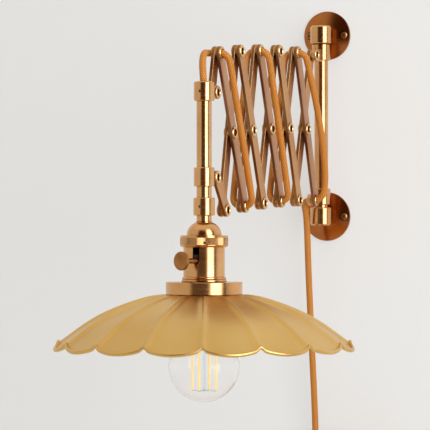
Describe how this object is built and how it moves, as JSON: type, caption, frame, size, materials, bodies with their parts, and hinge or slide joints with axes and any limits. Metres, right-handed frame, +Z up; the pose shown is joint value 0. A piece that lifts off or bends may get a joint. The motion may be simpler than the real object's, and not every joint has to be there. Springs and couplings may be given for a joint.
{
  "type": "accordion wall lamp",
  "caption": "Wall lamp on a swivelling scissor arm that pulls out from the wall, with a fabric cord through its hollow rivets, a keyed lampholder and a wide scalloped metal shade.",
  "frame": {"origin": "on the wall plane, midway between the two wall plates' centres", "axes": "+Z up, +Y into the wall (the lamp reaches towards -Y), +X to the right for someone facing the wall"},
  "size_m": [0.2978, 0.5238, 0.594],
  "materials": {
    "satin_copper": "satin brushed copper-gold plate",
    "aged_copper": "satin copper plate, a little darker",
    "bar_bronze": "fine satin tan bronze",
    "rivet_brass": "polished copper-gold eyelets",
    "zinc_steel": "copper-plated steel screws",
    "shade_gold": "spun, satin pale gold lacquer",
    "cord_fabric": "woven golden-orange braid",
    "clear_glass": "clear glass",
    "cap_nickel": "rolled thread, nickelled",
    "contact_brass": "bare brass",
    "phenolic": "dark moulded phenolic",
    "fibre": "dark pressed fibre",
    "frame_glass": "clear glass mount and wires",
    "filament_amber": "amber coated strips",
    "plug_plastic": "moulded, cord-coloured, bare blades",
    "tie_fabric": "woven strap"
  },
  "bodies": {
    "wall_mount": {"top_wall_plate": "aged_copper", "bottom_wall_plate": "aged_copper", "top_rod_holder": "satin_copper", "bottom_rod_holder": "satin_copper", "wall_screws": "zinc_steel"},
    "swivel": {"wall_rod": "satin_copper", "upper_wall_collar": "satin_copper", "wall_grub_screw": "zinc_steel"},
    "wall_slider": {"lower_wall_collar": "satin_copper", "hanging_lead": "cord_fabric", "lead_coil": "cord_fabric", "cord_tie": "tie_fabric", "mains_plug": "plug_plastic"},
    "left_5": {"left_bar_5": "bar_bronze", "wall_rivet": "rivet_brass"},
    "right_5": {"right_bar_5": "bar_bronze", "bar_rivets_5": "rivet_brass", "cord_run_5": "cord_fabric"},
    "left_4": {"left_bar_4": "bar_bronze", "cord_run_4": "cord_fabric"},
    "right_4": {"right_bar_4": "bar_bronze", "bar_rivets_4": "rivet_brass"},
    "left_3": {"left_bar_3": "bar_bronze"},
    "right_3": {"right_bar_3": "bar_bronze", "bar_rivets_3": "rivet_brass", "cord_run_3": "cord_fabric"},
    "left_2": {"left_bar_2": "bar_bronze", "cord_run_2": "cord_fabric"},
    "right_2": {"right_bar_2": "bar_bronze", "bar_rivets_2": "rivet_brass"},
    "left_1": {"left_bar_1": "bar_bronze"},
    "right_1": {"right_bar_1": "bar_bronze", "bar_rivets_1": "rivet_brass", "cord_run_1": "cord_fabric"},
    "top_link": {"top_link": "bar_bronze", "top_link_rivet": "rivet_brass", "cord_arch": "cord_fabric"},
    "bottom_link": {"bottom_link": "bar_bronze", "bottom_link_rivets": "rivet_brass"},
    "stem_slider": {"lower_stem_collar": "satin_copper"},
    "stem": {"stem_tube": "satin_copper", "upper_stem_collar": "satin_copper", "stop_collar": "satin_copper", "stem_grub_screws": "zinc_steel", "threaded_nipple": "satin_copper", "lampholder_cap": "satin_copper", "knurled_ring": "satin_copper", "lampholder_shell": "satin_copper", "insulating_liner": "fibre", "socket_core": "phenolic", "socket_contacts": "contact_brass", "fitter_ring": "satin_copper", "shade_clamp_ring": "satin_copper", "shade": "shade_gold", "bulb_glass": "clear_glass", "bulb_base": "cap_nickel", "filament_frame": "frame_glass", "led_filaments": "filament_amber", "stem_cord": "cord_fabric"},
    "key": {"switch_key": "satin_copper"}
  },
  "joints": [
    {"name": "swivel_turn", "type": "hinge", "parent": "wall_mount", "child": "swivel", "pos_m": [0, -0.02, 0], "axis": [0, 0, 1], "range_deg": [-62, 62]},
    {"name": "arm_extend", "type": "hinge", "parent": "swivel", "child": "left_5", "pos_m": [0, -0.045, 0.0765], "axis": [-1, 0, 0], "range_deg": [-1.2, 22.9]},
    {"name": "unit_5_cross", "type": "hinge", "parent": "left_5", "child": "right_5", "pos_m": [0, -0.07092, -0.0055], "axis": [-1, 0, 0], "range_deg": [-47.6, 2.52]},
    {"name": "wall_slider_pivot", "type": "hinge", "parent": "right_5", "child": "wall_slider", "pos_m": [0, -0.045, -0.08224], "axis": [-1, 0, 0], "range_deg": [-1.31, 24.69]},
    {"name": "unit_4_top", "type": "hinge", "parent": "right_5", "child": "left_4", "pos_m": [0, -0.09843, 0.07598], "axis": [-1, 0, 0], "range_deg": [-2.42, 45.73]},
    {"name": "unit_4_cross", "type": "hinge", "parent": "left_4", "child": "right_4", "pos_m": [0, -0.12274, -0.00652], "axis": [-1, 0, 0], "range_deg": [-47.6, 2.52]},
    {"name": "unit_3_top", "type": "hinge", "parent": "right_4", "child": "left_3", "pos_m": [0, -0.15185, 0.07441], "axis": [-1, 0, 0], "range_deg": [-2.42, 45.73]},
    {"name": "unit_3_cross", "type": "hinge", "parent": "left_3", "child": "right_3", "pos_m": [0, -0.17453, -0.00855], "axis": [-1, 0, 0], "range_deg": [-47.6, 2.52]},
    {"name": "unit_2_top", "type": "hinge", "parent": "right_3", "child": "left_2", "pos_m": [0, -0.20522, 0.07179], "axis": [-1, 0, 0], "range_deg": [-2.42, 45.73]},
    {"name": "unit_2_cross", "type": "hinge", "parent": "left_2", "child": "right_2", "pos_m": [0, -0.22628, -0.01159], "axis": [-1, 0, 0], "range_deg": [-47.6, 2.52]},
    {"name": "unit_1_top", "type": "hinge", "parent": "right_2", "child": "left_1", "pos_m": [0, -0.25853, 0.06814], "axis": [-1, 0, 0], "range_deg": [-2.42, 45.73]},
    {"name": "unit_1_cross", "type": "hinge", "parent": "left_1", "child": "right_1", "pos_m": [0, -0.27796, -0.01564], "axis": [-1, 0, 0], "range_deg": [-47.6, 2.52]},
    {"name": "top_link_pivot", "type": "hinge", "parent": "right_1", "child": "top_link", "pos_m": [0, -0.31176, 0.06344], "axis": [-1, 0, 0], "range_deg": [-1.55, 29.31]},
    {"name": "stem_level", "type": "hinge", "parent": "top_link", "child": "stem", "pos_m": [0, -0.32186, 0.02319], "axis": [-1, 0, 0], "range_deg": [-0.15, 2.86]},
    {"name": "bottom_link_pivot", "type": "hinge", "parent": "left_1", "child": "bottom_link", "pos_m": [0, -0.29625, -0.09455], "axis": [-1, 0, 0], "range_deg": [-52.84, 2.8]},
    {"name": "stem_slider_pivot", "type": "hinge", "parent": "bottom_link", "child": "stem_slider", "pos_m": [0, -0.32186, -0.06189], "axis": [-1, 0, 0], "range_deg": [-1.98, 37.41]},
    {"name": "key_turn", "type": "hinge", "parent": "stem", "child": "key", "pos_m": [0, -0.36656, -0.14499], "axis": [-0.2756, -0.9613, 0], "continuous": true}
  ],
  "couplings": [
    {"joint": "unit_5_cross", "follows": "arm_extend", "ratio": -2.0777},
    {"joint": "wall_slider_pivot", "follows": "arm_extend", "ratio": 1.0777},
    {"joint": "unit_4_top", "follows": "arm_extend", "ratio": 1.9961},
    {"joint": "unit_4_cross", "follows": "arm_extend", "ratio": -2.0777},
    {"joint": "unit_3_top", "follows": "arm_extend", "ratio": 1.9961},
    {"joint": "unit_3_cross", "follows": "arm_extend", "ratio": -2.0777},
    {"joint": "unit_2_top", "follows": "arm_extend", "ratio": 1.9961},
    {"joint": "unit_2_cross", "follows": "arm_extend", "ratio": -2.0777},
    {"joint": "unit_1_top", "follows": "arm_extend", "ratio": 1.9961},
    {"joint": "unit_1_cross", "follows": "arm_extend", "ratio": -2.0777},
    {"joint": "top_link_pivot", "follows": "arm_extend", "ratio": 1.2791},
    {"joint": "stem_level", "follows": "arm_extend", "ratio": 0.125},
    {"joint": "bottom_link_pivot", "follows": "arm_extend", "ratio": -2.3063},
    {"joint": "stem_slider_pivot", "follows": "arm_extend", "ratio": 1.6327}
  ]
}
